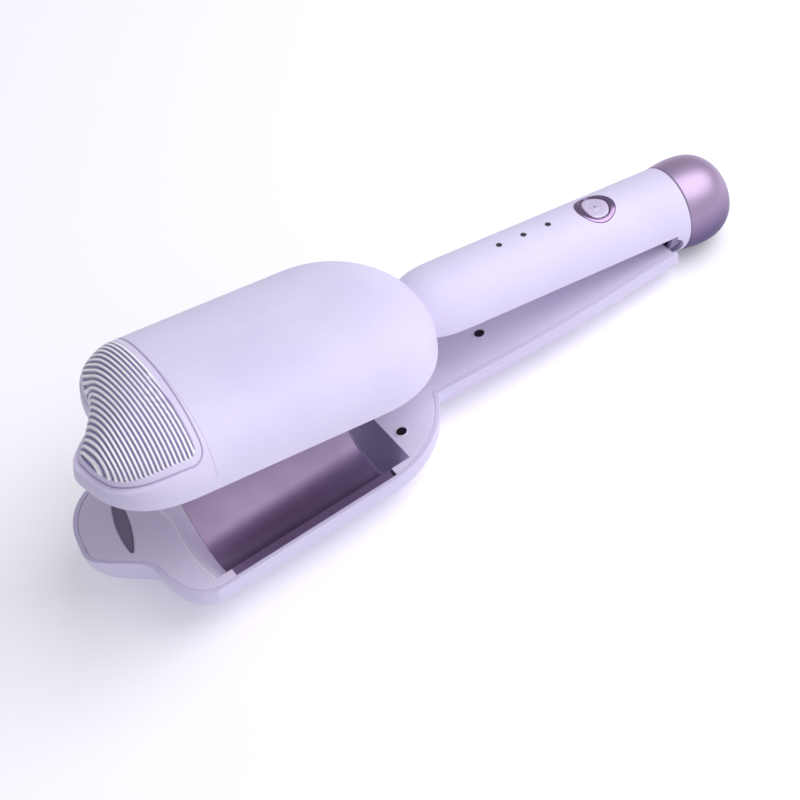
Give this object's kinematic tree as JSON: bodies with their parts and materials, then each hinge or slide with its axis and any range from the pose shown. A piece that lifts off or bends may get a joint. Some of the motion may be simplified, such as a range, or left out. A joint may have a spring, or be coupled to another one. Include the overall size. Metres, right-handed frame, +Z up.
{
  "type": "hair waver",
  "caption": "Clamp-style hair waver with two wave-shaped hot plates, a sprung lower arm, a power key and a round end cap",
  "frame": {"origin": "under the middle of the bounding box, on the table the waver rests on", "axes": "+X from the jaws to the end cap, +Y across the jaws, +Z up, with the jaws open and the waver resting on its foot and cap"},
  "size_m": [0.3278, 0.088, 0.1086],
  "materials": {
    "lavender_plastic": "satin",
    "plate_coating": "satin",
    "dark_plastic": "matte",
    "screw_steel": "satin",
    "insulation": "matte",
    "heater_aluminium": "satin",
    "spring_steel": "satin",
    "bush_brass": "satin",
    "cap_metallic": "satin",
    "key_plastic": "satin",
    "board_laminate": "satin"
  },
  "bodies": {
    "handle": {"handle_shell": "lavender_plastic", "tip_grip_pad": "lavender_plastic", "upper_tip_cover": "lavender_plastic", "handle_cover": "lavender_plastic", "upper_plate": "plate_coating", "upper_plate_rails": "dark_plastic", "upper_cover_screws": "screw_steel", "upper_insulating_sheet": "insulation", "upper_heater": "heater_aluminium", "upper_heater_clip": "spring_steel", "upper_thermal_fuse": "screw_steel", "upper_temperature_sensor": "insulation", "hinge_bracket": "spring_steel", "hinge_pin": "screw_steel", "torsion_spring": "spring_steel", "power_key_ring": "cap_metallic", "tact_switch": "dark_plastic", "circuit_board": "board_laminate", "indicator_lights": "key_plastic", "end_cap": "cap_metallic"},
    "lower_arm": {"lower_shell": "lavender_plastic", "lower_tip_cover": "lavender_plastic", "lower_arm_cover": "lavender_plastic", "lower_plate": "plate_coating", "lower_plate_rails": "dark_plastic", "lower_cover_screws": "screw_steel", "lower_insulating_sheet": "insulation", "lower_heater": "heater_aluminium", "lower_heater_clip": "spring_steel", "lower_thermal_fuse": "screw_steel", "lower_temperature_sensor": "insulation", "hinge_arm": "dark_plastic", "hinge_bushes": "bush_brass"},
    "key": {"power_key": "key_plastic"},
    "cord_swivel": {"cord_inlet": "dark_plastic"}
  },
  "joints": [
    {"name": "arm_squeeze", "type": "hinge", "parent": "handle", "child": "lower_arm", "pos_m": [0.13631, 0, 0.01288], "axis": [0, 1, 0], "range_deg": [0, 11.4], "stiffness_Nm_per_rad": 0.8, "springref_deg": -20.05, "deforming": ["torsion_spring"]},
    {"name": "key_press", "type": "slide", "parent": "handle", "child": "key", "axis": [-0.2211, 0, -0.9752], "range_m": [0, 0.0008], "stiffness_N_per_m": 1500, "springref_m": -0.0004},
    {"name": "cord_swivel", "type": "hinge", "parent": "handle", "child": "cord_swivel", "pos_m": [0.15856, 0, 0.01604], "axis": [0.9752, 0, -0.2211], "continuous": true}
  ]
}
